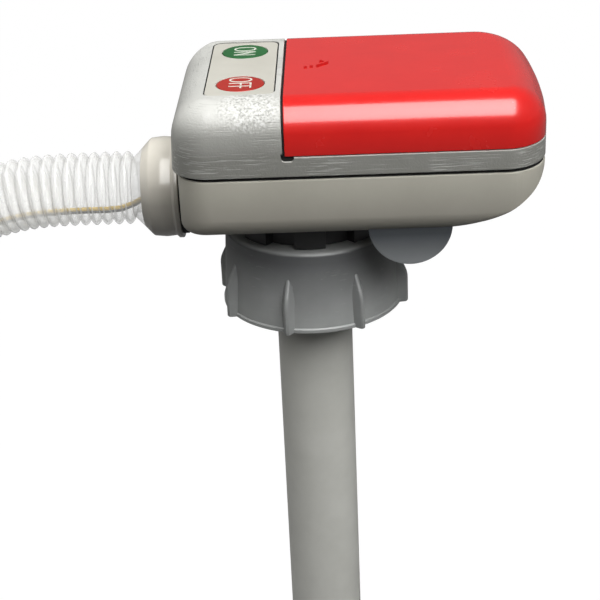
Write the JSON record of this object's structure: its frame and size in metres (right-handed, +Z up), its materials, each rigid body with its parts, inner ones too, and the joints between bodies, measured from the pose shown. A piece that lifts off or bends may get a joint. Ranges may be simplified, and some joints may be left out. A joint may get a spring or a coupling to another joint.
{
  "type": "battery siphon pump",
  "caption": "Battery siphon pump for a fuel or water can: moulded head with switch keys and sliding battery cover, captive screw cap, intake tube and ribbed clear discharge hose with nozzle.",
  "frame": {"origin": "on the axis of the screw cap, on the plane where the mouth of the can seats against the gasket", "axes": "+Z up out of the can, +X away from the outlet along the head, +Y towards the back of the head"},
  "size_m": [0.2845, 0.0778, 0.8348],
  "materials": {
    "upper_grey": "satin",
    "lower_grey": "matte",
    "cover_red": "gloss",
    "pad_grey": "satin",
    "key_green": "satin",
    "key_red": "satin",
    "board_green": "satin",
    "black_plastic": "satin",
    "cell_wrap": "gloss",
    "contact_steel": "polished",
    "screw_steel": "brushed",
    "inner_grey": "satin",
    "cap_grey": "matte",
    "black_rubber": "matte",
    "tube_grey": "satin",
    "dark_grey": "satin",
    "motor_steel": "satin",
    "shaft_steel": "polished",
    "white_plastic": "satin",
    "collar_beige": "satin",
    "hose_clear": "clear",
    "wire_yellow": "satin",
    "wire_grey": "satin"
  },
  "bodies": {
    "pump": {"lower_casing": "lower_grey", "upper_casing": "upper_grey", "switch_pad": "pad_grey", "circuit_board": "board_green", "tact_switches": "black_plastic", "aa_cells": "cell_wrap", "contact_springs": "contact_steel", "contact_plates": "contact_steel", "case_screws": "screw_steel", "outlet_manifold": "inner_grey", "neck_collar": "black_plastic", "cap_gasket": "black_rubber", "intake_tube": "tube_grey", "strainer_foot": "dark_grey", "motor_can": "motor_steel", "motor_end_cap": "black_plastic", "shaft_bushes": "white_plastic", "shaft_seal": "black_rubber", "outlet_collar": "collar_beige", "hose_cuff": "hose_clear", "discharge_hose": "hose_clear", "upper_wire": "wire_yellow", "lower_wire": "wire_grey", "lead_gland": "black_rubber", "nozzle_cuff": "hose_clear", "nozzle_body": "dark_grey", "sensor_probe": "black_plastic"},
    "cap": {"screw_cap": "cap_grey"},
    "cover": {"battery_cover": "cover_red"},
    "on_key": {"on_button": "key_green"},
    "off_key": {"off_button": "key_red"},
    "drive": {"motor_shaft": "shaft_steel", "shaft_coupling": "white_plastic", "drive_shaft": "shaft_steel", "impeller": "white_plastic"}
  },
  "joints": [
    {"name": "cap_turn", "type": "hinge", "parent": "pump", "child": "cap", "pos_m": [0, 0, 0], "axis": [0, 0, 1], "continuous": true},
    {"name": "cover_slide", "type": "slide", "parent": "pump", "child": "cover", "axis": [1, 0, 0], "range_m": [0, 0.09]},
    {"name": "on_press", "type": "slide", "parent": "pump", "child": "on_key", "axis": [0, 0, -1], "range_m": [0, 0.0005], "stiffness_N_per_m": 2400},
    {"name": "off_press", "type": "slide", "parent": "pump", "child": "off_key", "axis": [0, 0, -1], "range_m": [0, 0.0005], "stiffness_N_per_m": 2400},
    {"name": "drive_spin", "type": "hinge", "parent": "pump", "child": "drive", "pos_m": [0, 0, 0], "axis": [0, 0, 1], "continuous": true}
  ]
}
